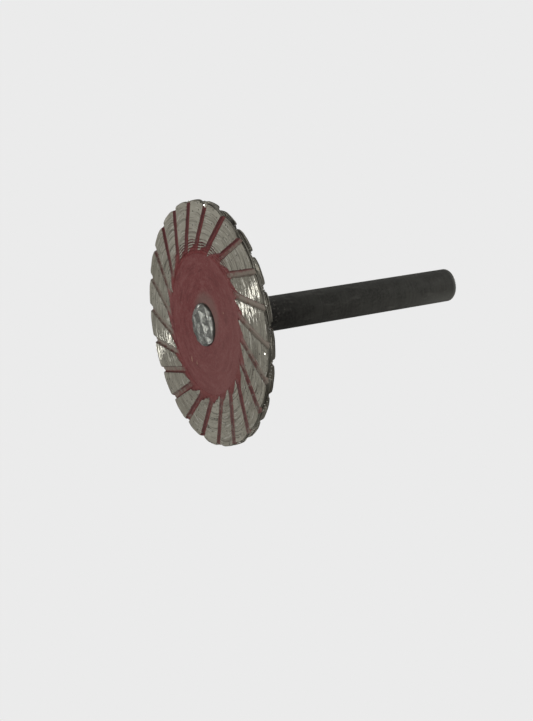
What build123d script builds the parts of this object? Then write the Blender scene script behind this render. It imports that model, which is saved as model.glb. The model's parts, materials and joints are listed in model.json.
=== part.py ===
"""Mini turbo diamond blade, staked for good on a plain 6 mm shank.

The spin axis is Y. The origin is on the axis, in the plane where the shank's shoulder meets the washer.
+Y runs along the shank to its free end, the blade's front face looks along -Y, and +Z is up.
"""

import os
from math import acos, atan2, cos, degrees, radians, sin, sqrt, tan

from build123d import *

# Driving dimensions, in millimetres and degrees.
blade_radius = 20.5  # to the tips of the grit
shank_radius = 3.0
shank_length = 48.8  # from the shoulder to the free end
shank_end_chamfer = 0.35

core_thickness = 1.0
core_radius = 11.8  # where the painted steel ends and the rim's teeth begin
tongue_thickness = 0.44
tongue_length = 1.4
bore_radius = 2.5

washer_radius = 5.0
washer_thickness = 1.2
washer_edge_chamfer = 0.2

rim_thickness = 1.5
grit_stand_out = 0.08
rim_radius = blade_radius - grit_stand_out
rim_ramp_length = 1.0  # the teeth rise from the core over this length
rim_edge_round = 0.2

groove_count = 22
groove_width = 1.0
groove_wall_slope = 15.0
groove_first_angle = 84.2
groove_offset = 7.5  # how far each groove's line passes from the axis
groove_edge_depth = 0.5
groove_core_depth = 0.3

head_radius = 3.6
head_height = 0.7
head_edge_round = 0.3
hatch_pitch = 2.3
hatch_ridge = 0.25
hatch_depth = 0.3
hatch_wall_slope = 60.0
hatch_angle = 32.0
hatch_shift = (0.1, 0.35)
hatch_cells = 4

grain_size = 0.42
face_grains_per_tooth = 2
edge_grains = 44

# Planes along the axis, worked out from the sizes above.
core_back = -washer_thickness
core_front = core_back - core_thickness
blade_middle = core_back - core_thickness / 2
head_front = core_front - head_height
rim_half = rim_thickness / 2
core_half = core_thickness / 2
tongue_half = tongue_thickness / 2
tongue_radius = core_radius + tongue_length
groove_pitch = 360 / groove_count


def disc_plane(y):
    """The plane across the axis at y. It faces the front, so its x is the model's X and its y is Z."""
    return Plane.XZ.offset(-y)


def groove_lag(radius):
    """How far, in degrees, a groove has turned at this radius from where it meets the rim's edge."""
    return degrees(acos(groove_offset / rim_radius) - acos(groove_offset / radius))


def groove_cutter(at_angle, side):
    """One straight groove in the rim: side is -1 on the front face and 1 on the back.

    The groove runs in from the edge, at a tangent to a circle of radius groove_offset. Its floor
    rises from groove_edge_depth at the edge to groove_core_depth where it reaches the core.
    """
    run_out = 1.5
    half_chord_edge = sqrt(rim_radius**2 - groove_offset**2)
    half_chord_core = sqrt(core_radius**2 - groove_offset**2)
    rise = groove_edge_depth - groove_core_depth
    tilt = atan2(rise, half_chord_edge - half_chord_core)
    # The foot is the groove line's nearest point to the axis, and outward is its direction to the edge.
    foot_angle = radians(at_angle) + acos(groove_offset / rim_radius)
    foot = Vector(groove_offset * cos(foot_angle), 0, groove_offset * sin(foot_angle))
    outward = Vector(sin(foot_angle), 0, -cos(foot_angle))
    floor_at_edge = blade_middle + side * (rim_half - groove_edge_depth)
    edge_point = foot + outward * half_chord_edge + Vector(0, floor_at_edge, 0)
    run = outward * cos(tilt) + Vector(0, -side * sin(tilt), 0)
    start = edge_point + run * run_out
    length = run_out + (half_chord_edge - half_chord_core) / cos(tilt) + run_out
    across = run.cross(Vector(0, side, 0))
    section = Plane(origin=start, x_dir=across, z_dir=run * -1)
    depth = 2 * groove_edge_depth
    spread = depth * tan(radians(groove_wall_slope))
    with BuildPart() as cutter:
        with BuildSketch(section):
            with BuildLine():
                Polyline(
                    (-groove_width / 2, 0),
                    (groove_width / 2, 0),
                    (groove_width / 2 + spread, depth),
                    (-groove_width / 2 - spread, depth),
                    close=True,
                )
            make_face()
        extrude(amount=length)
    return cutter.part


def tooth_grain(index, tooth, side):
    """Where the index-th grain of a tooth sits, half sunk in the tooth's face."""
    share = (index + 0.5) / face_grains_per_tooth
    wander = sin(12.9 * index + 7.7 * tooth + 3.1 * side)
    inner = core_radius + rim_ramp_length + 1.0
    outer = rim_radius - rim_edge_round - 0.8
    radius = inner + (outer - inner) * share + 0.4 * wander
    stagger = 0 if side < 0 else 0.5
    turn = tooth + 0.5 + stagger + 0.16 * sin(5.3 * index + 2.9 * tooth)
    angle = radians(groove_first_angle + groove_pitch * turn + groove_lag(radius))
    sunk = grain_size / 2 - grit_stand_out
    y = blade_middle + side * (rim_half - sunk)
    tumble = (40 * index + 31 * tooth, 57 * tooth, 23 * index)
    return Location((radius * cos(angle), y, radius * sin(angle)), tumble)


def edge_grain(index):
    """Where the index-th grain round the rim's edge sits."""
    angle = radians(360 * index / edge_grains)
    sunk = grain_size / 2 - grit_stand_out
    radius = rim_radius - sunk
    y = blade_middle + 0.1 * sin(2.4 * index)
    return Location((radius * cos(angle), y, radius * sin(angle)), (0, -degrees(angle), 0))


# The painted steel disc. Its edge is a thin tongue that the rim is sintered on to.
with BuildPart() as blade_core:
    with BuildSketch(Plane.XY):
        with BuildLine():
            Polyline(
                (bore_radius, core_front),
                (core_radius, core_front),
                (core_radius, blade_middle - tongue_half),
                (tongue_radius, blade_middle - tongue_half),
                (tongue_radius, blade_middle + tongue_half),
                (core_radius, blade_middle + tongue_half),
                (core_radius, core_back),
                (bore_radius, core_back),
                close=True,
            )
        make_face()
    revolve(axis=Axis.Y)

# One diamond crystal, square in the middle and tapering both ways.
with BuildPart() as grain:
    with BuildSketch(Plane.XY):
        Rectangle(grain_size, grain_size)
    extrude(amount=0.35 * grain_size, taper=40, both=True)

face_spots = [
    tooth_grain(index, tooth, side)
    for side in (-1, 1)
    for tooth in range(groove_count)
    for index in range(face_grains_per_tooth)
]
edge_spots = [edge_grain(index) for index in range(edge_grains)]

# The exposed diamond grains, each a solid of its own.
with BuildPart() as diamond_grit:
    with Locations(*face_spots, *edge_spots):
        add(grain.part)

# The sintered ring: teeth between slanted grooves on both faces, staggered by half a pitch.
with BuildPart() as turbo_rim:
    with BuildSketch(Plane.XY):
        with BuildLine():
            Polyline(
                (core_radius, blade_middle + tongue_half),
                (core_radius, blade_middle + core_half),
                (core_radius + rim_ramp_length, blade_middle + rim_half),
                (rim_radius, blade_middle + rim_half),
                (rim_radius, blade_middle - rim_half),
                (core_radius + rim_ramp_length, blade_middle - rim_half),
                (core_radius, blade_middle - core_half),
                (core_radius, blade_middle - tongue_half),
                (tongue_radius, blade_middle - tongue_half),
                (tongue_radius, blade_middle + tongue_half),
                close=True,
            )
        make_face()
    revolve(axis=Axis.Y)
    outer_edges = turbo_rim.edges().filter_by(GeomType.CIRCLE).sort_by(SortBy.RADIUS)[-2:]
    fillet(outer_edges, rim_edge_round)
    for number in range(groove_count):
        angle = groove_first_angle + groove_pitch * number
        add(groove_cutter(angle, -1), mode=Mode.SUBTRACT)
        add(groove_cutter(angle + groove_pitch / 2, 1), mode=Mode.SUBTRACT)
    add(diamond_grit.part, mode=Mode.SUBTRACT)

# The washer that the staking squeezes the core against.
with BuildPart() as backing_washer:
    with BuildSketch(disc_plane(0)):
        Circle(washer_radius)
        Circle(bore_radius, mode=Mode.SUBTRACT)
    extrude(amount=washer_thickness)
    back_edge = backing_washer.edges().filter_by(GeomType.CIRCLE).sort_by(Axis.Y).group_by(Axis.Y)[-1]
    chamfer(back_edge.sort_by(SortBy.RADIUS)[-1], washer_edge_chamfer)

# Shank, spigot and staked head, one piece of steel.
with BuildPart() as mandrel:
    with BuildSketch(Plane.XY):
        with BuildLine():
            Polyline(
                (0, head_front),
                (head_radius, head_front),
                (head_radius, core_front),
                (bore_radius, core_front),
                (bore_radius, 0),
                (shank_radius, 0),
                (shank_radius, shank_length),
                (0, shank_length),
                close=True,
            )
        make_face()
    revolve(axis=Axis.Y)
    free_end = mandrel.edges().filter_by(GeomType.CIRCLE).sort_by(Axis.Y)[-1]
    chamfer(free_end, shank_end_chamfer)
    head_rim = mandrel.edges().filter_by(GeomType.CIRCLE).sort_by(Axis.Y)[0]
    fillet(head_rim, head_edge_round)
    # The punch's pyramids leave square pits with raised ridges between them.
    with BuildSketch(disc_plane(head_front)):
        with Locations(Location((*hatch_shift, 0), (0, 0, hatch_angle))):
            with GridLocations(hatch_pitch, hatch_pitch, hatch_cells, hatch_cells):
                Rectangle(hatch_pitch - hatch_ridge, hatch_pitch - hatch_ridge)
    extrude(amount=-hatch_depth, taper=hatch_wall_slope, mode=Mode.SUBTRACT)

blade_core.part.label = "blade_core"
diamond_grit.part.label = "diamond_grit"
turbo_rim.part.label = "turbo_rim"
backing_washer.part.label = "backing_washer"
mandrel.part.label = "mandrel"

os.makedirs("parts", exist_ok=True)
for piece in (blade_core, diamond_grit, turbo_rim, backing_washer, mandrel):
    export_step(piece.part, f"parts/{piece.part.label}.step")
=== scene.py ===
"""Looks of a mini turbo diamond blade staked on a 6 mm shank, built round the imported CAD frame.

Everything is in metres in the CAD frame: the spin axis is Y, the blade's front face looks along -Y,
the shank runs to +Y and +Z is up. Angles round the axis are seen from the front, from +X towards +Z.
"""

import json
import math
import random

import bpy
import numpy as np
from mathutils import Matrix, Vector, noise


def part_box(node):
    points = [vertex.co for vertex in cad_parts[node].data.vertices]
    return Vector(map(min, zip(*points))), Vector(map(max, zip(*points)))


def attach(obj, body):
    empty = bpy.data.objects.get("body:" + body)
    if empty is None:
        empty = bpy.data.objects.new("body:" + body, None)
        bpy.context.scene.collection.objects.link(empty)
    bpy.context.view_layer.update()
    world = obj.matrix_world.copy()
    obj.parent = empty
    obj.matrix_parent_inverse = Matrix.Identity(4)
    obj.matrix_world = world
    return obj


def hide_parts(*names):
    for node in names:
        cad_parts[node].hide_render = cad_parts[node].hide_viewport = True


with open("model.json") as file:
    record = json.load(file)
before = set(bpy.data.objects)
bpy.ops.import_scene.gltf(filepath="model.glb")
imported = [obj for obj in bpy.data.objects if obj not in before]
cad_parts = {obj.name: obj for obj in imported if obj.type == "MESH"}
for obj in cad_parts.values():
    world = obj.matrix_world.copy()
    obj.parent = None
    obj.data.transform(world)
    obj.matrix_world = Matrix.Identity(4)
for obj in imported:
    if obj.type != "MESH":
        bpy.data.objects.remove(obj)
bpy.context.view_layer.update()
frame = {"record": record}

MM = 0.001
rng = random.Random(41)

# Sizes that the CAD frame gives.
rim_low, rim_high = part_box("turbo_rim")
core_low, core_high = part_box("blade_core")
washer_low, washer_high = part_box("backing_washer")
mandrel_low, mandrel_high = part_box("mandrel")
grit_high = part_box("diamond_grit")[1]
shank_mount = frame["record"]["mounts"][0]
RIM_RADIUS = rim_high.x
GRIT_RADIUS = grit_high.x
RIM_HALF = (rim_high.y - rim_low.y) / 2
CORE_HALF = (core_high.y - core_low.y) / 2
MIDDLE = (rim_high.y + rim_low.y) / 2
SHANK_RADIUS = shank_mount["dims"]["r_mm"] * MM
SHANK_END = mandrel_high.y
HEAD_RADIUS = mandrel_high.x
HEAD_FRONT = mandrel_low.y
WASHER_RADIUS = washer_high.x

# Sizes that the frame's boxes don't give, the same as in the CAD model.
CORE_RADIUS = 11.8 * MM
BORE_RADIUS = 2.5 * MM
GROOVES = 22
FIRST_GROOVE = math.radians(84.2)
GROOVE_OFFSET = 7.5 * MM  # how far each groove's line passes from the axis
PITCH = 2 * math.pi / GROOVES
SHANK_EDGE = 0.35 * MM
PUNCH_PITCH = 2.3 * MM

# Finer sizes that only the looks have.
TOOTH_RADIUS = GRIT_RADIUS - 0.03 * MM  # the teeth end just inside the tips of the grit
CORNER_RADIUS = TOOTH_RADIUS - 0.05 * MM  # where the rim's columns leave the grooves' lines
RIM_INNER = CORE_RADIUS - 0.02 * MM  # the rim's skin starts just inside the core's edge
GROOVE_HALF_WIDTH = 0.66 * MM  # at the tops of its worn walls
PUNCH_TURN = math.radians(30)
PUNCH_CROSSING = (0.1 * MM, 0.38 * MM)  # x and z where the corners of four of the punch's pyramids met

# How finely the rim's grid is divided.
FACE_ROWS, CORNER_ROWS, EDGE_ROWS = 50, 5, 16
CLOSE_ROWS = 25  # of each face's rows, those close together where the teeth begin
CORNER_SHARE = np.linspace(0, 1, CORNER_ROWS + 1)[1:]  # how far round its corner each row is
EDGE_SHARE = (np.arange(EDGE_ROWS) + 1) / (EDGE_ROWS + 1)  # how far over the edge each row is

# The brightest places, as radius and angle in degrees, and the counts and sizes of the crystals.
FRONT_SPOTS = ((14.5 * MM, 23), (18.6 * MM, 27), (16.5 * MM, 22), (14.2 * MM, 203), (18.9 * MM, 204))
BACK_SPOTS = ((15.0 * MM, 10), (17.5 * MM, 120), (16.0 * MM, 250))
SPOT_REACH = 2.3 * MM  # how far the bright grinding reaches round each of those spots
FACE_CRYSTALS = 330
EDGE_CRYSTALS = 260
BRIGHT_GRAINS = ((19.5 * MM, -1.8), (20.0 * MM, 85))
BRIGHT_GRAIN_SIZE = 0.45 * MM
BRIGHT_GRAIN_SUNK = 0.25 * MM
FLASH = Vector((0.40, -0.90, 0.16))  # where their flat tops look, between the key light and the viewer

BACKDROP = (0.831, 0.831, 0.831, 1)  # the pale grey of the floor and of the room behind it
ROOM_GLOW = 0.14  # how strongly that grey lights the blade


# -------- mesh helpers

def add_values(mesh, name, values):
    """One number for each point of a mesh, for its material to read."""
    attribute = mesh.attributes.new(name, "FLOAT", "POINT")
    attribute.data.foreach_set("value", np.asarray(values, np.float32).ravel())


def mesh_object(name, points, faces, material, smooth=True, **point_values):
    """A mesh object in the scene, with a float attribute for each further keyword."""
    mesh = bpy.data.meshes.new(name)
    mesh.from_pydata([tuple(p) for p in points], [], [tuple(f) for f in faces])
    for key, values in point_values.items():
        add_values(mesh, key, values)
    mesh.materials.append(material)
    if smooth:
        mesh.shade_smooth()
    mesh.update()
    piece = bpy.data.objects.new(name, mesh)
    bpy.context.scene.collection.objects.link(piece)
    return piece


def grid_faces(columns, rows, wrap_rows=False):
    """Quads of a grid of points that closes round its columns, and along its rows too if asked."""
    faces = []
    last = rows if wrap_rows else rows - 1
    for column in range(columns):
        here = column * rows
        following = (column + 1) % columns * rows
        for row in range(last):
            above = (row + 1) % rows
            faces.append((here + row, here + above, following + above, following + row))
    return faces


def fan_faces(hub, columns, rows, row, forwards):
    """Triangles between a hub point and one row of a grid of points that closes round its columns."""
    faces = []
    for column in range(columns):
        here = column * rows + row
        following = (column + 1) % columns * rows + row
        faces.append((hub, here, following) if forwards else (hub, following, here))
    return faces


def around_axis(radius, angle, y):
    """Points round the spin axis, from arrays of radius, angle and place along the axis."""
    return np.stack([radius * np.cos(angle), y, radius * np.sin(angle)], axis=-1)


def smooth_step(low, high, value):
    """0 at low, 1 at high, smooth between; low may be the larger."""
    t = np.clip((value - low) / (high - low), 0, 1)
    return t * t * (3 - 2 * t)


def sector(middle, spread, angle):
    """1 at the middle angle, given in degrees, falling smoothly to 0 on both sides of it."""
    return np.exp(-((np.cos(angle - math.radians(middle)) - 1) / spread) ** 2)


def wander(points, size, seed):
    """Smooth noise from -1 to 1 at each point, with features about size across."""
    flat = points.reshape(-1, 3) / size + seed * 17.3
    found = np.array([noise.noise(Vector(p)) for p in flat])
    return found.reshape(points.shape[:-1])


def lathe(name, outline, columns, material, closed=False):
    """A turned piece from (radius, y) outline points. An open outline's ends are closed with a fan."""
    radius, along = np.array(outline).T
    angle = np.linspace(0, 2 * math.pi, columns, endpoint=False)
    grid = around_axis(radius[None, :], angle[:, None], np.broadcast_to(along, (columns, len(along))))
    points = list(grid.reshape(-1, 3))
    rows = len(outline)
    faces = grid_faces(columns, rows, wrap_rows=closed)
    if not closed:
        for row, forwards in ((0, True), (rows - 1, False)):
            faces += fan_faces(len(points), columns, rows, row, forwards)
            points.append((0, along[row], 0))
    return mesh_object(name, points, faces, material)


# -------- the rim's shape

def groove_half_width(radius):
    """Half of the groove's width at its top, as a share of the pitch, at this radius."""
    slant = np.arcsin(GROOVE_OFFSET / radius)
    return GROOVE_HALF_WIDTH / np.cos(slant) / radius / PITCH


def groove_turn(radius):
    """How far a groove's centre line has turned at this radius from its place at the rim's edge."""
    return np.arccos(GROOVE_OFFSET / RIM_RADIUS) - np.arccos(GROOVE_OFFSET / radius)


def column_places():
    """Where the rim's columns stand across one pitch, from one front groove's middle to the next.

    Three numbers for each column: 1 if it is measured on from the first groove or -1 if back from the
    next one, its zone (0 front groove, 1 tooth, 2 back groove), and how far across that zone it is.
    """
    groove_columns, tooth_columns = 5, 8
    onward = []
    for zone, count in ((0, groove_columns), (1, tooth_columns), (2, groove_columns)):
        for i in range(count):
            onward.append((1, zone, i / count))
    back_groove_middle = (1, 2, 1.0)
    backward = [(-1, zone, share) for _, zone, share in onward[1:]]
    return [*onward, back_groove_middle, *reversed(backward)]


def column_share(way, zone, share, half):
    """The place of one column, in pitches, at a radius where the groove's half width is half."""
    if zone == 0:
        distance = share * half
    elif zone == 1:
        distance = half + share * (0.5 - 2 * half)
    else:
        distance = 0.5 - half + share * half
    return distance if way > 0 else 1 - distance


class Side:
    """One face of the rim: how high its teeth and grooves stand over the blade's middle plane.

    Its grooves are stagger pitches on from the first groove's angle. The teeth wear most at one
    corner, 1 for the later one round and -1 for the earlier. Spots are its brightest places.
    """

    def __init__(self, stagger, worn_corner, seed, spots):
        self.stagger = stagger
        self.worn_corner = worn_corner
        self.seed = seed
        self.spots = spots
        draw = random.Random(seed)
        self.sink = np.array([draw.uniform(0.0, 0.035) for _ in range(GROOVES)]) * MM
        self.lean = np.array([draw.uniform(-0.015, 0.015) for _ in range(GROOVES)]) * MM
        self.start = np.array([draw.uniform(-0.2, 0.35) for _ in range(GROOVES)]) * MM
        self.cut_back = np.array([draw.uniform(0.8, 2.0) for _ in range(GROOVES)]) * MM
        self.grind = np.array([draw.uniform(-0.11, 0.11) for _ in range(GROOVES)])
        self.tone = np.array([draw.uniform(0, 1) for _ in range(GROOVES)])
        self.swell = np.array([draw.uniform(0, 0.05) for _ in range(GROOVES)]) * MM

    def tooth_at(self, radius, angle):
        """Which tooth this is, and how far across its pitch, from 0 to 1 counterclockwise."""
        turn = (angle - FIRST_GROOVE - groove_turn(radius)) / PITCH - self.stagger
        whole = np.floor(turn)
        return whole.astype(int) % GROOVES, turn - whole

    def outline(self, radius, angle):
        """The rim's outer radius on this face: each tooth's end is worn round, most at one corner."""
        tooth, across = self.tooth_at(radius, angle)
        half = groove_half_width(radius)
        place = np.clip((across - 0.5) / (0.5 - half), -1, 1) * self.worn_corner
        drop = 0.28 * ((place - 0.35) / 0.65).clip(0, 1) ** 1.6
        drop = drop + 0.10 * ((-place - 0.72) / 0.28).clip(0, 1) ** 2
        return TOOTH_RADIUS - self.swell[tooth] - drop * MM

    def tooth_starts(self, tooth, tooth_place, angle, points):
        """The radius where each tooth begins: it is cut back on one side and so pointed on the other."""
        reach = CORE_RADIUS + 0.05 * MM + self.start[tooth]
        reach = reach + self.cut_back[tooth] * ((0.8 - tooth_place) / 1.8).clip(0, 1) ** 1.4
        reach = reach + 0.5 * MM * ((tooth_place - 0.8) / 0.2).clip(0, 1) ** 2
        reach = reach + 0.6 * MM * sector(48, 0.08, angle)
        reach = reach + wander(points, 1.1 * MM, self.seed + 3) * 0.4 * MM
        return reach + wander(points, 0.4 * MM, self.seed + 4) * 0.15 * MM

    def chatter_at(self, radius, angle, points):
        """Chatter marks of the grinding wheel, steps across the inner ends of the uppermost teeth.

        Their strength at each point, and how far across its step the point is, from 0 to 1.
        """
        from_core = radius - CORE_RADIUS
        strength = smooth_step(0.55, 0.9, np.cos(angle - math.radians(92)))
        strength = strength * smooth_step(3.0 * MM, 1.8 * MM, from_core)
        strength = strength * smooth_step(0.05 * MM, 0.6 * MM, from_core)
        step = (radius / (0.46 * MM) + 0.35 * wander(points, 2.2 * MM, self.seed + 5)) % 1.0
        return strength, step

    def polish_at(self, points):
        """How brightly each point was ground: 1 in the middle of a spot, falling to 0 round it."""
        polish = np.zeros(points.shape[:-1])
        for radius, degrees in self.spots:
            spot = math.radians(degrees)
            x, z = radius * math.cos(spot), radius * math.sin(spot)
            away = np.hypot(points[..., 0] - x, points[..., 2] - z)
            polish = np.maximum(polish, np.exp(-((away / SPOT_REACH) ** 2)))
        return polish

    def measure(self, radius, angle, points):
        """Height over the middle plane, and by name what the material needs to know of each point.

        ground is how far the grinding wheel reached it (1 on top of a tooth), deep how dusty its paint
        may be, grind the coordinate across the grinding marks, tone its tooth's shade, chatter the
        wheel's chatter marks, and polish how brightly it was ground.
        """
        tooth, across = self.tooth_at(radius, angle)
        half = groove_half_width(radius)
        tooth_place = np.clip((across - 0.5) / (0.5 - half), -1, 1)
        from_groove = np.where(across < 0.5, across, across - 1)
        slant = np.arcsin(GROOVE_OFFSET / radius)
        distance = from_groove * PITCH * radius * np.cos(slant)
        ragged = wander(points, 0.6 * MM, self.seed) * 0.05 * MM
        ragged = ragged + wander(points, 0.22 * MM, self.seed + 9) * 0.03 * MM
        wall = smooth_step(0.38 * MM, 0.60 * MM, np.abs(distance) + ragged)

        start = self.tooth_starts(tooth, tooth_place, angle, points)
        climb = smooth_step(-0.3 * MM, 0.4 * MM, radius - start)
        top = RIM_HALF - self.sink[tooth] + self.lean[tooth] * tooth_place
        foot = CORE_HALF + 0.016 * MM
        top = foot + (top - foot) * climb
        fall = np.clip((radius - CORE_RADIUS) / (RIM_RADIUS - CORE_RADIUS), 0, 1)
        floor = foot - (0.06 * MM * smooth_step(0.02, 0.14, fall) + 0.20 * MM * fall)
        height = floor + (top - floor) * wall

        chatter, step = self.chatter_at(radius, angle, points)
        height = height - chatter * (0.3 + 0.7 * wall) * 0.15 * MM * step
        height = height + wander(points, 0.9 * MM, self.seed + 1) * 0.012 * MM * wall
        height = height + wander(points, 0.35 * MM, self.seed + 2) * 0.008 * MM * climb

        # Lumps of thick paint lie in front of the teeth at the upper right.
        from_core = radius - CORE_RADIUS
        lumpy = sector(38, 0.16, angle) * (1 - climb)
        lumpy = lumpy * smooth_step(0.05 * MM, 0.5 * MM, from_core)
        height = height + lumpy * wander(points, 0.5 * MM, self.seed + 6) * 0.28 * MM

        missed = 0.4 * chatter * smooth_step(0.45, 0.95, step) * (1 - 0.4 * climb)
        arc = tooth_place * (0.5 - half) * PITCH * radius
        return height, {
            "ground": np.minimum(wall, climb) - missed,
            "deep": smooth_step(0.1 * MM, 1.9 * MM, from_core) * (1 - wall * (1 - climb)),
            "grind": radius + self.grind[tooth] * arc + 0.5 * arc**2 / (30 * MM),
            "tone": self.tone[tooth],
            "chatter": chatter * (step - 0.35),
            "polish": self.polish_at(points),
        }


FRONT = Side(stagger=0.0, worn_corner=-1, seed=11, spots=FRONT_SPOTS)
BACK = Side(stagger=0.5, worn_corner=1, seed=23, spots=BACK_SPOTS)


def degrees_from(middle, angle):
    """How far round each angle is from the middle one, in degrees from -180 to 180."""
    return (np.degrees(angle) - middle + 180) % 360 - 180


def paint_left(radius, angle):
    """How much of the grooves' red paint is left on the front face, from about 0 to 1."""
    kept = np.full(angle.shape, 0.42)
    # Each sector has its middle and its spread in degrees, and how much more paint is left there.
    sectors = (
        (30, 26, -0.06), (85, 30, 0.50), (125, 25, 0.35),
        (172, 34, -0.28), (262, 32, 0.42), (324, 26, 0.44),
    )
    for middle, spread, gain in sectors:
        kept = kept + gain * np.exp(-((degrees_from(middle, angle) / spread) ** 2))
    rubbed = np.exp(-((degrees_from(-18, angle) / 38) ** 2)) * smooth_step(16.5 * MM, 19.5 * MM, radius)
    across = FRONT.tooth_at(radius, angle)[1] * PITCH * radius
    sheltered = smooth_step(0.15 * MM, 0.42 * MM, across) * smooth_step(0.85 * MM, 0.65 * MM, across)
    return kept - 0.24 * rubbed + 0.30 * sheltered


def dust_on(points):
    """How dusty the paint is and how much painted sheen it gets: both most at the lower right."""
    return 0.25 + (0.45 * points[..., 0] - 0.35 * points[..., 2]) / CORE_RADIUS


def row_spread():
    """How far out each row of a face is, from 0 to 1. The rows stand close where the teeth begin."""
    close_share = 2.9 * MM / (TOOTH_RADIUS - CORE_RADIUS)
    close = np.linspace(0.012, close_share, CLOSE_ROWS)
    wide = np.linspace(close_share, 1, FACE_ROWS - CLOSE_ROWS - 1)[1:]
    return np.concatenate([(0, 0.003), close, wide])


def column_angles(row_radius):
    """The angle of every point of the rim, column by column, so that the columns follow the grooves."""
    places = column_places()
    angle = np.zeros((GROOVES * len(places), len(row_radius)))
    for number, (way, zone, share) in enumerate(places):
        across = column_share(way, zone, share, groove_half_width(row_radius))
        turned = FIRST_GROOVE + groove_turn(row_radius) + PITCH * across
        for tooth in range(GROOVES):
            angle[tooth * len(places) + number] = turned + PITCH * tooth
    return angle


def face_and_corner(side, height, ground, angle):
    """Radius and height of one face's rows, from the core out and on round its worn corner.

    The corner is unevenly round and a little chipped, on the outline of the face's own teeth.
    """
    corner = around_axis(CORNER_RADIUS, angle, 0 * angle)
    worn = 0.5 + 0.5 * wander(corner, 2.3 * MM, 3)
    chips = 0.05 * MM * wander(corner, 0.7 * MM, 4).clip(0, 1)
    bevel = (0.08 + (0.06 + 0.16 * worn) * ground.clip(0, 1)) * MM
    outer = side.outline(np.full(angle.shape, CORNER_RADIUS), angle) - chips
    outer, bevel = outer[:, None], bevel[:, None]
    bend = CORNER_SHARE * math.pi / 2
    face_radius = RIM_INNER + (outer - bevel - RIM_INNER) * row_spread()
    corner_radius = outer - bevel * (1 - np.sin(bend))
    corner_height = height[:, -1:] - bevel * (1 - np.cos(bend)) * 0.8
    radius = np.concatenate([face_radius, corner_radius], axis=1)
    return radius, np.concatenate([height, corner_height], axis=1)


def across_edge(start, end, angle):
    """Radius and height of the edge's rows between two corners, each given by its radius and height.

    The outline passes from one face's teeth to the other's, with fine ridges round it.
    """
    height = start[1] + (end[1] - start[1]) * EDGE_SHARE
    ridges = wander(around_axis(6.0, angle[:, None] + 0 * height, height / (0.2 * MM)), 1.0, 6)
    passed = smooth_step(0.15, 0.85, EDGE_SHARE)
    return start[0] * (1 - passed) + end[0] * passed + 0.035 * MM * ridges, height


def rim_values(radius, angle, height, front, back):
    """What the rim's material needs to know of each point, from what was measured on the two faces."""
    in_front = np.zeros(FACE_ROWS + CORNER_ROWS)
    behind = np.concatenate([in_front, EDGE_SHARE, in_front + 1])
    face = np.zeros(FACE_ROWS)
    edge = np.concatenate([face, CORNER_SHARE, np.ones(EDGE_ROWS), CORNER_SHARE[::-1], face])
    edge = np.broadcast_to(edge, angle.shape)
    values = {key: front[key] * (1 - behind) + back[key] * behind for key in front}
    values["grind"] = np.where(edge > 0.5, height + MIDDLE, values["grind"]) / MM
    values["edge"] = edge
    values["kept"] = np.where(behind < 0.5, paint_left(radius, angle), 0.6)
    # Painted sheen: the ground metal is painted lighter near the top and the bottom, where its circular
    # scratches give a broad reflection, and this sheen is weaker over the lower half.
    painted_sheen = 0.5 + 0.5 * np.cos(2 * (angle - math.radians(98)))
    values["painted_sheen"] = painted_sheen * (0.72 + 0.28 * np.sin(angle))
    # Painted shade on the rim's edge at the near right.
    values["painted_edge_shade"] = edge * np.exp(-((degrees_from(-14, angle) / 27) ** 2))
    return values


def rim_teeth(material):
    """The whole sintered ring as one closed grid whose columns follow the slanted grooves.

    Its rows run out along the front face, round its corner, over the edge, and back in behind.
    """
    ramp = RIM_INNER + (CORNER_RADIUS - RIM_INNER) * row_spread()
    over_edge = np.full(EDGE_ROWS + 2 * CORNER_ROWS, CORNER_RADIUS)
    row_radius = np.concatenate([ramp, over_edge, ramp[::-1]])
    angle = column_angles(row_radius)
    columns, rows = angle.shape
    broad = np.broadcast_to(row_radius, angle.shape)
    flat = around_axis(broad, angle, 0 * angle)
    front_height, front = FRONT.measure(broad, angle, flat + np.array([0, -RIM_HALF, 0]))
    back_height, back = BACK.measure(broad, angle, flat + np.array([0, RIM_HALF, 0]))

    corner_angle = angle[:, FACE_ROWS]
    front_radius, front_height = face_and_corner(
        FRONT, front_height[:, :FACE_ROWS], front["ground"][:, FACE_ROWS - 1], corner_angle
    )
    back_radius, back_height = face_and_corner(
        BACK, back_height[:, :-FACE_ROWS - 1:-1], back["ground"][:, -FACE_ROWS], corner_angle
    )
    front_end = (front_radius[:, -1:], -front_height[:, -1:])
    back_end = (back_radius[:, -1:], back_height[:, -1:])
    edge_radius, edge_height = across_edge(front_end, back_end, corner_angle)
    radius = np.concatenate([front_radius, edge_radius, back_radius[:, ::-1]], axis=1)
    height = np.concatenate([-front_height, edge_height, back_height[:, ::-1]], axis=1)
    points = around_axis(np.minimum(radius, TOOTH_RADIUS), angle, height + MIDDLE)
    return mesh_object(
        "rim_teeth", points.reshape(-1, 3), grid_faces(columns, rows, wrap_rows=True), material,
        **rim_values(broad, angle, height, front, back), dust=dust_on(points),
    )


# -------- materials

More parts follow.
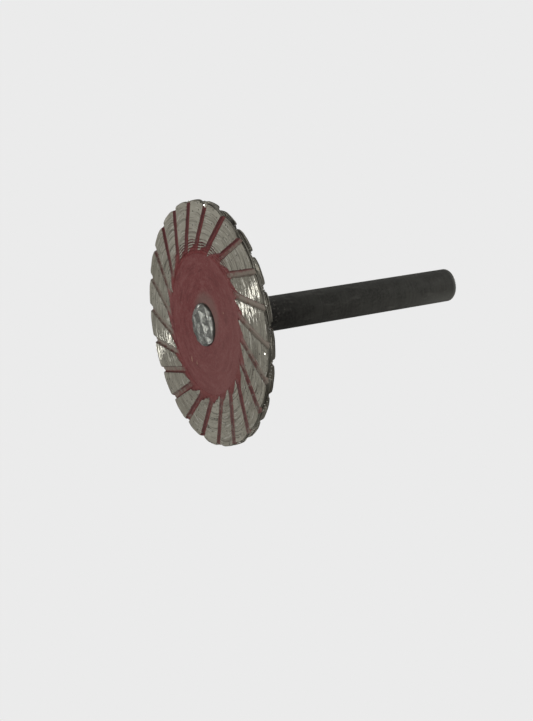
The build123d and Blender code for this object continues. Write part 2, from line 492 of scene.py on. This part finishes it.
class Recipe:
    """A short way to write a node material: each call adds a node and returns its first output."""

    def __init__(self, name):
        self.material = bpy.data.materials.new(name)
        self.material.use_nodes = True
        self.tree = self.material.node_tree
        self.shader = self.tree.nodes["Principled BSDF"]

    def plug(self, node, sockets):
        """Link or set each of a node's named or numbered sockets."""
        for key, value in sockets.items():
            socket = node.inputs[key]
            if isinstance(value, bpy.types.NodeSocket):
                self.tree.links.new(value, socket)
            else:
                socket.default_value = value

    def node(self, kind, sockets=None, **settings):
        made = self.tree.nodes.new(kind)
        for key, value in settings.items():
            setattr(made, key, value)
        self.plug(made, sockets or {})
        return made

    def math(self, operation, a, b, clamp=False):
        sockets = {0: a, 1: b}
        return self.node("ShaderNodeMath", sockets, operation=operation, use_clamp=clamp).outputs[0]

    def plus(self, a, b):
        return self.math("ADD", a, b)

    def minus(self, a, b, clamp=False):
        return self.math("SUBTRACT", a, b, clamp)

    def times(self, a, b, clamp=False):
        return self.math("MULTIPLY", a, b, clamp)

    def larger(self, a, b):
        return self.math("MAXIMUM", a, b)

    def total(self, first, *others):
        """The sum of (value, weight) pairs."""
        found = self.times(*first)
        for value, weight in others:
            found = self.plus(found, self.times(value, weight))
        return found

    def attribute(self, name):
        return self.node("ShaderNodeAttribute", attribute_name=name).outputs["Fac"]

    def place(self):
        """The point on the surface, in millimetres."""
        where = self.node("ShaderNodeTexCoord").outputs["Object"]
        return self.node("ShaderNodeVectorMath", {0: where, 3: 1 / MM}, operation="SCALE").outputs[0]

    def noise(self, vector, scale, detail=2.0, roughness=0.5):
        sockets = {"Vector": vector, "Scale": scale, "Detail": detail, "Roughness": roughness}
        return self.node("ShaderNodeTexNoise", sockets).outputs["Fac"]

    def step(self, value, low, high):
        """0 below low, 1 above high, smooth between; low may be the larger."""
        flipped = low > high
        sockets = {0: value, 1: min(low, high), 2: max(low, high), 3: 0.0, 4: 1.0}
        if flipped:
            sockets[3], sockets[4] = 1.0, 0.0
        return self.node("ShaderNodeMapRange", sockets, interpolation_type="SMOOTHSTEP").outputs[0]

    def mix(self, factor, a, b):
        """A colour between a and b."""
        sockets = {0: factor, 6: a, 7: b}
        return self.node("ShaderNodeMix", sockets, data_type="RGBA").outputs[2]

    def tint(self, base, mask, strength, colour):
        """The base colour with another laid over it where the mask is."""
        return self.mix(self.times(mask, strength), base, colour)

    def blend(self, factor, a, b):
        """A number between a and b."""
        return self.node("ShaderNodeMix", {0: factor, 2: a, 3: b}, data_type="FLOAT").outputs[0]

    def bump(self, height, distance, strength=1.0, normal=None):
        sockets = {"Height": height, "Distance": distance, "Strength": strength}
        if normal is not None:
            sockets["Normal"] = normal
        return self.node("ShaderNodeBump", sockets).outputs[0]

    def split(self, vector):
        """The x, y and z of a vector."""
        return self.node("ShaderNodeSeparateXYZ", {0: vector}).outputs

    def join(self, x, y, z):
        return self.node("ShaderNodeCombineXYZ", {0: x, 1: y, 2: z}).outputs[0]

    def polar(self, place, arc_scale, radial_scale, radius=None):
        """A point made from radius and direction, so that noise over it makes marks round the axis."""
        x, _, z = self.split(place)
        flat = self.join(x, 0.0, z)
        if radius is None:
            radius = self.node("ShaderNodeVectorMath", {0: flat}, operation="LENGTH").outputs["Value"]
        unit = self.node("ShaderNodeVectorMath", {0: flat}, operation="NORMALIZE").outputs[0]
        x, _, z = self.split(unit)
        across = self.times(radius, radial_scale)
        return self.join(self.times(x, arc_scale), across, self.times(z, arc_scale))


def turning_marks(m, place):
    """Faint marks round the axis, from the turning of the disc under the paint."""
    return m.noise(m.polar(place, 2.6, 1.1), 1.0, 5.0, 0.7)


def red_paint(m, place):
    """The dull brownish red of the paint, a little cloudy, over faint turning marks, greyed by dust and
    a painted sheen towards the lower right.
    """
    turning = turning_marks(m, place)
    cloud = m.noise(place, 0.22, 4.0, 0.6)
    peel = m.noise(place, 2.6, 5.0, 0.7)
    red = m.mix(m.step(cloud, 0.3, 0.7), (0.116, 0.0275, 0.028, 1), (0.138, 0.0410, 0.0405, 1))
    red = m.tint(red, m.step(peel, 0.50, 0.66), 0.6, (0.160, 0.072, 0.067, 1))
    red = m.tint(red, m.step(peel, 0.48, 0.34), 0.5, (0.085, 0.020, 0.021, 1))
    red = m.tint(red, m.step(turning, 0.5, 0.64), 0.5, (0.170, 0.068, 0.065, 1))
    red = m.tint(red, m.step(turning, 0.47, 0.34), 0.75, (0.080, 0.020, 0.020, 1))
    # Dust and a painted sheen grey the paint towards the lower right.
    return m.mix(m.times(m.attribute("dust"), 0.5, clamp=True), red, (0.145, 0.070, 0.065, 1))


def groove_paint(m, place):
    """The paint in the grooves: dusty, with dark blots, painted shade at the walls' feet and in the
    chatter steps, and rubbed bare.
    """
    ground, deep, kept = m.attribute("ground"), m.attribute("deep"), m.attribute("kept")
    dusty = m.mix(m.step(kept, 0.35, 0.95), (0.138, 0.098, 0.083, 1), (0.102, 0.030, 0.030, 1))
    red = m.tint(red_paint(m, place), deep, 0.9, dusty)
    blot = m.step(m.noise(place, 1.9, 3.0, 0.65), 0.54, 0.64)
    # Painted shade at the feet of the groove's walls.
    foot = m.times(m.step(ground, 0.02, 0.25), m.step(ground, 0.9, 0.6))
    blots_and_foot_shade = m.larger(m.times(blot, 0.5), m.times(foot, 0.55))
    red = m.tint(red, blots_and_foot_shade, deep, (0.040, 0.015, 0.015, 1))
    rubbed = m.minus(m.noise(place, 1.1, 3.0, 0.65), m.times(kept, 0.6))
    faded = m.times(m.step(rubbed, 0.05, 0.30), m.times(deep, 0.9))
    red = m.mix(faded, red, (0.156, 0.137, 0.114, 1))
    # Painted shade at the foot of each chatter step.
    return m.tint(red, m.step(m.attribute("chatter"), 0.15, 0.4), 0.5, (0.05, 0.018, 0.018, 1))


def bond_pits(m, place):
    """Round pits all over the bond, and finer pores at the dusty lower right."""
    cells = m.node("ShaderNodeTexVoronoi", {"Vector": place, "Scale": 1.1, "Randomness": 1.0})
    uneven = m.times(m.noise(place, 9.0, 1.0), 0.10)
    pit = m.step(m.plus(cells.outputs["Distance"], uneven), 0.23, 0.16)
    dusty = m.step(m.attribute("dust"), 0.1, 0.9)
    pore = m.times(m.step(m.noise(place, 2.2, 2.0, 0.7), 0.61, 0.68), dusty)
    return m.larger(pit, m.times(pore, 0.5))


def edge_metal(m, place, grind, edge):
    """The rim's edge: bright ridges round it, darker along its corners, and with painted shade on the
    part at the near right.
    """
    ridge = m.noise(m.polar(place, 3.0, 6.5, grind), 1.0, 2.0, 0.65)
    metal = m.mix(m.step(ridge, 0.38, 0.62), (0.036, 0.031, 0.023, 1), (0.46, 0.435, 0.36, 1))
    corner = m.times(m.step(edge, 0.1, 0.4), m.step(edge, 1.0, 0.7))
    # Painted shade at the near right, and darker along the corners.
    edge_shade_and_darkening = m.larger(m.times(m.attribute("painted_edge_shade"), 0.75), m.times(corner, 0.6))
    return m.mix(edge_shade_and_darkening, metal, (0.040, 0.035, 0.024, 1))


def ground_metal(m, scratch, band, cloud, bright, glint):
    """The bond where it was ground: light and dark bands under a painted sheen, dark scratches, bright
    streaks whose pale colour is partly a painted highlight, and painted shade between them and at the
    foot of each chatter step.
    """
    tone = m.attribute("tone")
    # The metal's shade mixes its own bands, tones and clouds with the painted sheen.
    shade = m.total((band, 0.4), (tone, 0.10), (cloud, 0.25), (m.attribute("painted_sheen"), 0.25))
    metal = m.mix(m.step(shade, 0.2, 0.8), (0.150, 0.141, 0.115, 1), (0.285, 0.274, 0.234, 1))
    scored = m.step(scratch, 0.46, 0.39)
    metal = m.tint(metal, scored, m.blend(tone, 0.35, 0.75), (0.045, 0.041, 0.031, 1))
    # Painted shade between the bright streaks in the polished spots.
    between = m.step(bright, 0.58, 0.54)
    metal = m.tint(metal, between, m.times(m.attribute("polish"), 0.55), (0.060, 0.056, 0.044, 1))
    # The bright streaks are smoother, metallic polished metal, and their pale colour is also a painted
    # highlight.
    metal = m.tint(metal, glint, 0.75, (0.80, 0.79, 0.72, 1))
    # Painted shade at the foot of each chatter step.
    return m.tint(metal, m.step(m.attribute("chatter"), 0.1, 0.35), 0.8, (0.05, 0.042, 0.034, 1))


def bond_material():
    """Ground sintered bond with red paint left in the grooves and at the inner ends of the teeth."""
    m = Recipe("sintered_bond")
    place = m.place()
    grind, edge, polish = m.attribute("grind"), m.attribute("edge"), m.attribute("polish")

    # Marks that run round the axis: thin dark scratches, broad bands, and streaks that catch the light.
    scratch = m.noise(m.polar(place, 2.6, 3.9, grind), 1.0, 2.0, 0.65)
    band = m.noise(m.polar(place, 5.0, 1.0, grind), 1.0, 2.0, 0.5)
    streak = m.noise(m.polar(place, 6.5, 3.0, grind), 1.0, 2.5, 0.65)
    patch = m.noise(m.polar(place, 5.0, 0.5, grind), 1.0, 1.0, 0.5)
    cloud = m.noise(place, 0.55, 3.0, 0.55)
    grain = m.noise(place, 7.5, 2.0, 0.6)
    pit = bond_pits(m, place)

    # Paint stays wherever the grinding wheel didn't reach, with a ragged border.
    ragged = m.total((cloud, 0.14), (grain, 0.16), (scratch, 0.18))
    reached = m.plus(m.attribute("ground"), m.minus(ragged, 0.24))
    reached = m.plus(reached, m.times(m.minus(0.45, m.attribute("kept"), clamp=True), 1.6))
    paint = m.times(m.step(reached, 0.98, 0.88), m.step(edge, 0.75, 0.25))

    # Bright streaks: polished metal that reflects the key light, with a painted highlight in their pale
    # colour.
    bright = m.total((streak, 0.86), (patch, 0.14), (polish, 0.095))
    glint = m.times(m.step(bright, 0.600, 0.612), m.step(polish, -0.35, 0.5))
    metal = ground_metal(m, scratch, band, cloud, bright, glint)
    metal = m.tint(metal, pit, 0.85, (0.02, 0.019, 0.015, 1))
    metal = m.mix(edge, metal, edge_metal(m, place, grind, edge))

    marks = m.total((scratch, 0.6), (band, 0.6), (streak, 1.2))
    marks = m.times(marks, m.blend(paint, 1.0, 0.25))
    marks = m.minus(marks, m.times(pit, 0.9))
    m.plug(m.shader, {
        "Base Color": m.mix(paint, metal, groove_paint(m, place)),
        "Metallic": m.blend(paint, m.times(glint, 0.75), 0.0),
        "Roughness": m.blend(paint, m.blend(glint, 0.5, 0.37), 0.55),
        "Specular IOR Level": 0.2,
        "Anisotropic": 1.0,
        "Anisotropic Rotation": 0.25,
        "Tangent": m.node("ShaderNodeTangent", direction_type="RADIAL", axis="Y").outputs[0],
        "Normal": m.bump(marks, 0.09 * MM, 1.0, m.bump(grain, 0.02 * MM, 0.5)),
    })
    return m.material


def paint_material():
    """Dull brownish red paint on the core, over faint turning marks, scuffed round the head."""
    m = Recipe("core_paint")
    place = m.place()
    peel = m.noise(place, 4.2, 3.0, 0.6)
    smear = m.noise(place, 1.6, 3.0, 0.6)
    grey = m.mix(peel, (0.085, 0.062, 0.054, 1), (0.165, 0.122, 0.104, 1))
    red = m.tint(red_paint(m, place), m.attribute("scuff"), m.blend(smear, 0.25, 1.0), grey)
    height = m.total((turning_marks(m, place), 0.6), (peel, 0.5))
    m.plug(m.shader, {
        "Base Color": m.mix(m.step(m.attribute("bare"), 0.4, 0.6), red, (0.33, 0.22, 0.15, 1)),
        "Roughness": m.blend(peel, 0.46, 0.6),
        "Specular IOR Level": 0.3,
        "Normal": m.bump(height, 0.05 * MM, 0.9),
    })
    return m.material


def bright_steel(name, light, rough):
    """Bare cold-worked steel, with painted shade where the shade value passes 0.3, and painted nearly
    black where it passes 1.2.
    """
    m = Recipe(name)
    place = m.place()
    hollow = m.attribute("hollow")
    cloud = m.noise(place, 1.3, 3.0, 0.6)
    scratch = m.noise(place, 11.0, 2.0, 0.6)
    colour = m.mix(m.step(cloud, 0.3, 0.7), (*(0.72 * c for c in light), 1), (*light, 1))
    # Painted shade in the punch's pits.
    pit_shade = m.step(hollow, 0.3, 1.0)
    colour = m.tint(colour, pit_shade, m.blend(scratch, 0.5, 1.0), (*(0.30 * c for c in light), 1))
    # Painted shade, nearly black, in the crease where the head's skirt meets the core.
    crease_shade = m.step(hollow, 1.2, 1.7)
    crinkle = m.noise(place, 3.2, 3.0, 0.6)
    m.plug(m.shader, {
        "Base Color": m.tint(colour, crease_shade, 0.9, (0.030, 0.031, 0.025, 1)),
        "Metallic": m.blend(crease_shade, 0.85, 0.0),
        "Roughness": m.blend(cloud, rough, rough + 0.16),
        "Normal": m.bump(scratch, 0.05 * MM, 1.0, m.bump(crinkle, 0.09 * MM, 1.0)),
    })
    return m.material


def black_oxide():
    """Black oxide over a turned rod: mottled and rubbed, dented by the blade, with painted light on its
    underside and towards its free end.
    """
    m = Recipe("black_oxide_steel")
    place = m.place()
    x, along, up = m.split(place)
    lathe_marks = m.noise(m.join(0.0, along, 0.0), 2.6, 3.0, 0.7)
    cloud = m.noise(place, 0.30, 4.0, 0.6)
    mottle = m.noise(place, 2.4, 3.0, 0.7)
    lengthwise = m.join(x, m.times(along, 0.3), up)
    rub = m.step(m.noise(lengthwise, 0.8, 3.0, 0.6), 0.54, 0.70)
    by_blade = m.times(m.step(along, 14.0, 10.0), m.step(m.noise(place, 0.35, 1.0), 0.34, 0.52))
    dents = m.times(m.step(m.noise(place, 1.5, 2.0, 0.6), 0.57, 0.65), by_blade)
    # Painted light on the underside towards the free end.
    lit_underside = m.times(m.step(along, 34.0, 48.0), m.step(up, 0.3, -2.4))
    black = m.mix(m.step(cloud, 0.35, 0.65), (0.041, 0.040, 0.034, 1), (0.077, 0.077, 0.066, 1))
    black = m.tint(black, m.step(mottle, 0.35, 0.65), 0.6, (0.092, 0.090, 0.078, 1))
    black = m.tint(black, m.step(lathe_marks, 0.5, 0.3), 0.55, (0.042, 0.041, 0.035, 1))
    black = m.tint(black, m.step(lathe_marks, 0.52, 0.70), 0.35, (0.125, 0.122, 0.107, 1))
    black = m.tint(black, rub, 0.3, (0.205, 0.200, 0.176, 1))
    black = m.tint(black, dents, 0.6, (0.30, 0.29, 0.26, 1))
    black = m.tint(black, lit_underside, 0.85, (0.200, 0.198, 0.176, 1))
    # Painted light: lighter towards the free end, away from the blade's shadow.
    black = m.tint(black, m.step(along, 20.0, 44.0), 0.14, (0.185, 0.183, 0.162, 1))
    black = m.tint(black, m.attribute("wear"), m.blend(mottle, 0.25, 0.6), (0.36, 0.36, 0.33, 1))
    height = m.total((lathe_marks, 0.6), (mottle, 0.4))
    m.plug(m.shader, {
        "Base Color": black,
        "Metallic": 0.15,
        "Roughness": m.blend(mottle, 0.46, 0.62),
        "Specular IOR Level": 0.4,
        "Normal": m.bump(height, 0.05 * MM, 0.8),
    })
    return m.material


def diamond_material():
    """Pale saw-grit crystals, some of them dusty."""
    m = Recipe("diamond")
    place = m.place()
    dusty = m.noise(place, 6.0, 1.0)
    colour = m.mix(m.attribute("kind"), (0.14, 0.13, 0.10, 1), (0.80, 0.77, 0.64, 1))
    m.plug(m.shader, {
        "Base Color": m.tint(colour, dusty, 0.5, (0.12, 0.11, 0.09, 1)),
        "Roughness": m.blend(dusty, 0.12, 0.4),
        "IOR": 2.4,
    })
    return m.material


# -------- the pieces

def painted_core(material):
    """The painted steel disc, a little uneven, with three nicks and a scuff by the head."""
    columns, rows = 360, 64
    radii = np.concatenate([np.linspace(BORE_RADIUS, CORE_RADIUS - 0.02 * MM, rows - 1), [CORE_RADIUS]])
    angle = np.linspace(0, 2 * math.pi, columns, endpoint=False)
    grids = []
    for side, y, seed in ((-1, core_low.y, 31), (1, core_high.y, 32)):
        grid = around_axis(radii[None, :], angle[:, None], np.full((columns, rows), y))
        dish = wander(grid, 5 * MM, seed) * 0.012 * MM + wander(grid, 1.1 * MM, seed + 7) * 0.004 * MM
        grid[..., 1] -= side * (0.016 * MM + dish)
        grids.append(grid if side < 0 else grid[:, ::-1])
    points = np.concatenate(grids, axis=1)
    # Each nick's x and z, its length and half its width, in millimetres.
    nicks = ((-5.2, -7.1, 1.7, 0.16), (-3.4, -7.4, 1.0, 0.12), (6.4, 3.1, 0.6, 0.08))
    bare = np.zeros(points.shape[:2])
    front = np.arange(points.shape[1]) < rows
    for x, z, length, half_width in nicks:
        along = (points[..., 2] / MM - z) - 0.25 * (points[..., 0] / MM - x)
        aside = (points[..., 0] / MM - x) + 0.25 * (points[..., 2] / MM - z)
        inside = 1 - np.sqrt((along / (length / 2)) ** 2 + (aside / half_width) ** 2)
        bare = np.maximum(bare, np.clip(inside * 1.4, 0, 1) * front)
    points[..., 1] += bare * 0.03 * MM
    reach = np.hypot(points[..., 0] - 0.6 * MM, points[..., 2] - 1.4 * MM) / MM
    scuff = (smooth_step(4.8, 3.2, reach) * 0.8) * front
    return mesh_object(
        "painted_core", points.reshape(-1, 3), grid_faces(columns, 2 * rows, wrap_rows=True), material,
        bare=bare, scuff=scuff, dust=dust_on(points),
    )


def punch_pits(x, z):
    """How deep the punch went at each place, and how much painted shade each place gets.

    The punch stood askew, so one row of pits is deep with flat sides and the others are shallow bowls.
    """
    from_x, from_z = x - PUNCH_CROSSING[0], z - PUNCH_CROSSING[1]
    u = (from_x * math.cos(PUNCH_TURN) + from_z * math.sin(PUNCH_TURN)) / PUNCH_PITCH
    v = (-from_x * math.sin(PUNCH_TURN) + from_z * math.cos(PUNCH_TURN)) / PUNCH_PITCH
    v = v + 0.10 * u.clip(0, 1) ** 2 + 0.03 * np.sin(2.6 * u)
    u = u + 0.04 * np.sin(2.3 * v)
    to_ridge = np.maximum(np.abs(u % 1.0 - 0.5), np.abs(v % 1.0 - 0.5)) * 2
    pit = np.clip(1.0 - to_ridge, 0, 1)
    deep_row = np.floor(u) == 0
    shallow = np.where(u < 0, 0.08, 0.16)
    depth = np.where(deep_row, 0.46 * pit.clip(0, 0.85), shallow * (1 - (1 - pit) ** 2)) * MM
    # Painted shade in the pits, stronger outside the deep row.
    hollow = smooth_step(0.03, 0.40, pit) * np.where(deep_row, 0.55, 0.8)
    return depth, hollow


def staked_head(material):
    """The spigot's end, spread over the core by a punch with pyramids, which left square pits."""
    columns, rings, skirt_rows = 180, 56, 8
    full = core_low.y - HEAD_FRONT
    angle = np.linspace(0, 2 * math.pi, columns, endpoint=False)
    ring = np.linspace(0, 1, rings + 1)[1:]
    waves = 0.03 * np.sin(3 * angle + 0.7) + 0.03 * np.sin(7 * angle + 2)
    outline = HEAD_RADIUS - (0.12 + 0.09 * np.sin(angle) + waves).clip(0.01, None) * MM
    radius = outline[:, None] * ring[None, :]
    x, z = radius * np.cos(angle)[:, None], radius * np.sin(angle)[:, None]
    depth, hollow = punch_pits(x, z)
    flat = np.stack([x, 0 * x, z], -1)
    uneven = wander(flat, 1.1 * MM, 51) * 0.045 * MM + wander(flat, 0.36 * MM, 52) * 0.045 * MM
    uneven = uneven + np.abs(wander(flat, 0.22 * MM, 53)) * 0.06 * MM
    chipped = 0.5 + wander(flat, 0.5 * MM, 54)
    crown = full * (1 - 0.07 * ring**2 - 0.22 * chipped * smooth_step(0.90, 1.0, ring))
    height = np.clip(crown - depth + uneven - 0.04 * MM, 0.15 * MM, full)

    # The skirt bulges a little on its way down to the core.
    down = np.linspace(1, 0, skirt_rows + 1)[1:]
    skirt_height = height[:, -1:] * down[None, :]
    room = (HEAD_RADIUS - outline)[:, None]
    skirt_radius = radius[:, -1:] + room * 0.9 * np.sqrt(1 - (0.98 * down[None, :]) ** 2)
    all_radius = np.concatenate([radius, skirt_radius], axis=1)
    all_height = np.concatenate([height, skirt_height], axis=1)
    # The skirt gets painted shade, darkest where it meets the core.
    shade = np.concatenate([hollow, np.repeat(2.0 - 0.6 * down[None, :], columns, axis=0)], axis=1)
    rows = all_radius.shape[1]
    points = around_axis(all_radius, angle[:, None], core_low.y - all_height).reshape(-1, 3)
    top_middle = core_low.y - float(height[:, 0].mean())
    top, bottom = len(points), len(points) + 1
    points = [*points, (0, top_middle, 0), (0, core_low.y, 0)]
    faces = grid_faces(columns, rows)
    faces += fan_faces(top, columns, rows, 0, forwards=True)
    faces += fan_faces(bottom, columns, rows, rows - 1, forwards=False)
    values = np.concatenate([shade.ravel(), [0.2, 1.0]])
    return mesh_object("staked_head", points, faces, material, hollow=values)


def rolled_edge(radius, end, roll):
    """Outline points round a rolled-over edge, from the side at this radius to the end face."""
    steps = 6
    bends = [i / steps * math.pi / 2 for i in range(1, steps + 1)]
    return [(radius - roll * (1 - math.cos(bend)), end - roll * (1 - math.sin(bend))) for bend in bends]


def shank_rod(material):
    """The plain round shank, from its shoulder to its softly broken free end with a small dimple."""
    outline = [(SHANK_RADIUS, y) for y in np.linspace(0.0, SHANK_END - SHANK_EDGE, 90)]
    outline += rolled_edge(SHANK_RADIUS, SHANK_END, SHANK_EDGE)
    end_face = SHANK_END - 0.02 * MM
    outline += [(SHANK_RADIUS * share, end_face) for share in (0.85, 0.7, 0.5, 0.3, 0.12)]
    outline.append((SHANK_RADIUS * 0.04, end_face - 0.10 * MM))
    piece = lathe("shank_rod", outline, 144, material)
    co = np.array([v.co for v in piece.data.vertices])
    wear = smooth_step(SHANK_END - 0.9 * MM, SHANK_END - 0.2 * MM, co[:, 1])
    wear *= smooth_step(SHANK_RADIUS - 0.8 * MM, SHANK_RADIUS - 0.2 * MM, np.hypot(co[:, 0], co[:, 2]))
    add_values(piece.data, "wear", wear)
    return piece


def washer_ring(material):
    """The stamped washer behind the core: one edge rolled over, the other sharp."""
    low, high = washer_low.y, washer_high.y
    roll = 0.22 * MM
    outline = [(BORE_RADIUS, low), (BORE_RADIUS + 0.1 * MM, low)]
    outline += [(r, low) for r in np.linspace(BORE_RADIUS + 0.3 * MM, WASHER_RADIUS - 0.06 * MM, 12)]
    outline += [(WASHER_RADIUS - 0.01 * MM, low + 0.05 * MM)]
    outline += [(WASHER_RADIUS, y) for y in np.linspace(low + 0.15 * MM, high - roll - 0.03 * MM, 5)]
    outline += rolled_edge(WASHER_RADIUS, high, roll)
    outline += [(r, high) for r in np.linspace(WASHER_RADIUS - roll - 0.1 * MM, BORE_RADIUS, 12)]
    piece = lathe("washer_ring", outline, 120, material, closed=True)
    add_values(piece.data, "hollow", np.full(len(piece.data.vertices), 0.1))
    return piece


def crystal(centre, size, turn):
    """Points of one saw-grit crystal: an octahedron with two of its tips cut off."""
    base = [(1, 0, 0), (0, 1, 0), (-1, 0, 0), (0, -1, 0)]
    points = [Vector(p) for p in base]
    for top in (0.62, -0.62):
        points += [Vector((0.42 * p[0], 0.42 * p[1], top)) for p in base]
    return [turn @ (p * size) + centre for p in points]


def grit_on_face(side, face):
    """Centres and sizes of the crystals on one face: side is -1 in front and 1 behind."""
    spots = []
    while len(spots) < FACE_CRYSTALS:
        radius = rng.uniform(CORE_RADIUS + 1.6 * MM, RIM_RADIUS - 0.5 * MM)
        angle = rng.uniform(0, 2 * math.pi)
        point = np.array([radius * math.cos(angle), side * RIM_HALF, radius * math.sin(angle)])
        height, measured = face.measure(np.array([radius]), np.array([angle]), point[None, :])
        on_tooth = measured["ground"][0] >= 0.98
        if on_tooth:
            size = rng.uniform(0.07, 0.15) * MM
            sunk = rng.uniform(0.35, 0.9) * size
            y = MIDDLE + side * (float(height[0]) - sunk)
            y = max(MIDDLE - RIM_HALF + size, min(MIDDLE + RIM_HALF - size, y))
            spots.append((Vector((point[0], y, point[2])), size))
    return spots


def grit_on_edge():
    """Centres and sizes of the crystals round the rim's edge."""
    spots = []
    for _ in range(EDGE_CRYSTALS):
        angle = rng.uniform(0, 2 * math.pi)
        size = rng.uniform(0.08, 0.16) * MM
        radius = min(RIM_RADIUS - rng.uniform(0.3, 0.8) * size, GRIT_RADIUS - size)
        y = MIDDLE + rng.uniform(-0.2, 0.2) * MM
        spots.append((Vector((radius * math.cos(angle), y, radius * math.sin(angle))), size))
    return spots


def exposed_grit(material):
    """Crystals half out of the tops of the teeth and of the rim's edge."""
    crystals = []
    for centre, size in [*grit_on_face(-1, FRONT), *grit_on_face(1, BACK), *grit_on_edge()]:
        tumble = Vector((rng.uniform(-1, 1), 1, rng.uniform(-1, 1))).normalized()
        turn = Matrix.Rotation(rng.uniform(0, 6.28), 3, tumble)
        crystals.append((centre, size, turn, rng.choice((0.0, 0.1, 0.25, 0.6))))
    for radius, degrees in BRIGHT_GRAINS:
        angle = math.radians(degrees)
        y = MIDDLE - RIM_HALF + BRIGHT_GRAIN_SUNK
        centre = Vector((radius * math.cos(angle), y, radius * math.sin(angle)))
        turn = FLASH.to_track_quat("Z", "Y").to_matrix()
        crystals.append((centre, BRIGHT_GRAIN_SIZE, turn, 1.0))

    faces_of_one = [(4, 5, 6, 7), (11, 10, 9, 8)]
    for i in range(4):
        k = (i + 1) % 4
        faces_of_one.append((i, k, 4 + k, 4 + i))
        faces_of_one.append((k, i, 8 + i, 8 + k))
    points, faces, kinds = [], [], []
    for centre, size, turn, kind in crystals:
        start = len(points)
        points += crystal(centre, size, turn)
        faces += [tuple(start + i for i in face) for face in faces_of_one]
        kinds += [kind] * (len(points) - start)
    return mesh_object("exposed_grit", points, faces, material, smooth=False, kind=kinds)


# -------- camera, light and floor

def add_camera():
    """The photograph's view: from the blade's right, a little above, near enough for perspective."""
    azimuth, elevation, roll = math.radians(59.25), math.radians(15.77), math.radians(-1.36)
    distance = 195.2 * MM
    aim_right, aim_up = 9.75 * MM, -6.02 * MM
    back = Vector((
        math.sin(azimuth) * math.cos(elevation),
        -math.cos(azimuth) * math.cos(elevation),
        math.sin(elevation),
    ))
    level_right = Vector((math.cos(azimuth), math.sin(azimuth), 0))
    level_up = back.cross(level_right)
    right = level_right * math.cos(roll) + level_up * math.sin(roll)
    up = level_up * math.cos(roll) - level_right * math.sin(roll)
    data = bpy.data.cameras.new("camera")
    data.lens = 59.03
    data.sensor_width = 36.0
    data.clip_start = 0.01
    data.clip_end = 20.0
    camera = bpy.data.objects.new("camera", data)
    where = Vector((0, MIDDLE, 0)) + right * aim_right + up * aim_up + back * distance
    camera.matrix_world = Matrix.Translation(where) @ Matrix((right, up, back)).transposed().to_4x4()
    bpy.context.scene.collection.objects.link(camera)
    bpy.context.scene.camera = camera


def soft_light(name, direction, distance, size, power, colour=(1, 1, 1)):
    """A square soft light that looks at the blade from a direction; sizes in metres, power in watts."""
    data = bpy.data.lights.new(name, "AREA")
    data.shape = "SQUARE"
    data.size = size
    data.energy = power
    data.color = colour
    light = bpy.data.objects.new(name, data)
    towards = Vector(direction).normalized()
    light.location = Vector((0, MIDDLE, 0)) + towards * distance
    light.rotation_mode = "QUATERNION"
    light.rotation_quaternion = towards.to_track_quat("Z", "Y")
    bpy.context.scene.collection.objects.link(light)


def pale_room():
    """A room that the camera sees in the backdrop's grey, and that lights the blade softly."""
    world = bpy.data.worlds.new("room")
    bpy.context.scene.world = world
    world.use_nodes = True
    tree = world.node_tree
    tree.nodes.clear()
    seen = tree.nodes.new("ShaderNodeBackground")
    seen.inputs["Color"].default_value = BACKDROP
    lit = tree.nodes.new("ShaderNodeBackground")
    lit.inputs["Strength"].default_value = ROOM_GLOW
    path = tree.nodes.new("ShaderNodeLightPath")
    mix = tree.nodes.new("ShaderNodeMixShader")
    out = tree.nodes.new("ShaderNodeOutputWorld")
    tree.links.new(path.outputs["Is Camera Ray"], mix.inputs[0])
    tree.links.new(lit.outputs[0], mix.inputs[1])
    tree.links.new(seen.outputs[0], mix.inputs[2])
    tree.links.new(mix.outputs[0], out.inputs[0])


def pale_floor():
    """A plain floor far below, as grey to the camera and as dim to all else as the room."""
    material = bpy.data.materials.new("floor")
    material.use_nodes = True
    tree = material.node_tree
    tree.nodes.clear()
    glow = tree.nodes.new("ShaderNodeEmission")
    glow.inputs["Color"].default_value = BACKDROP
    out = tree.nodes.new("ShaderNodeOutputMaterial")
    path = tree.nodes.new("ShaderNodeLightPath")
    dim = tree.nodes.new("ShaderNodeMapRange")
    dim.inputs[3].default_value = ROOM_GLOW
    dim.inputs[4].default_value = 1.0
    tree.links.new(path.outputs["Is Camera Ray"], dim.inputs[0])
    tree.links.new(dim.outputs[0], glow.inputs["Strength"])
    tree.links.new(glow.outputs[0], out.inputs[0])
    level, half = -0.35, 3.0
    corners = [(-half, -half, level), (half, -half, level), (half, half, level), (-half, half, level)]
    floor = mesh_object("floor", corners, [(0, 1, 2, 3)], material, smooth=False)


def build():
    """The whole picture, and the six pieces of the blade with the CAD nodes that they stand for."""
    bpy.context.scene.view_settings.view_transform = "Standard"
    add_camera()
    pale_room()
    pale_floor()
    soft_light("key", (-0.18, -0.98, 0.06), 0.6, 0.10, 1.5, (1, 0.985, 0.93))
    soft_light("front", (-0.3, -0.75, 0.6), 0.7, 0.7, 0.6)
    soft_light("camera side", (0.6, -0.78, -0.15), 0.7, 0.5, 2.85)
    soft_light("low front", (0.35, -0.7, -0.62), 0.7, 0.4, 1.0)
    soft_light("top left", (-0.5, 0.2, 0.84), 0.7, 0.4, 0.5)
    soft_light("behind", (-0.05, 1.0, 0.12), 0.8, 0.3, 4.0)

    steel = bright_steel("bright_steel", (0.37, 0.378, 0.356), 0.30)
    oxide = black_oxide()
    pieces = (
        (rim_teeth(bond_material()), "turbo_rim", "sintered_bond"),
        (exposed_grit(diamond_material()), "diamond_grit", "diamond"),
        (painted_core(paint_material()), "blade_core", "core_paint"),
        (washer_ring(steel), "backing_washer", "bright_steel"),
        (staked_head(steel), "mandrel", "bright_steel"),
        (shank_rod(oxide), "mandrel", "black_oxide_steel"),
    )
    for piece, node, slot in pieces:
        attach(piece, "root")
        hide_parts(node)


build()
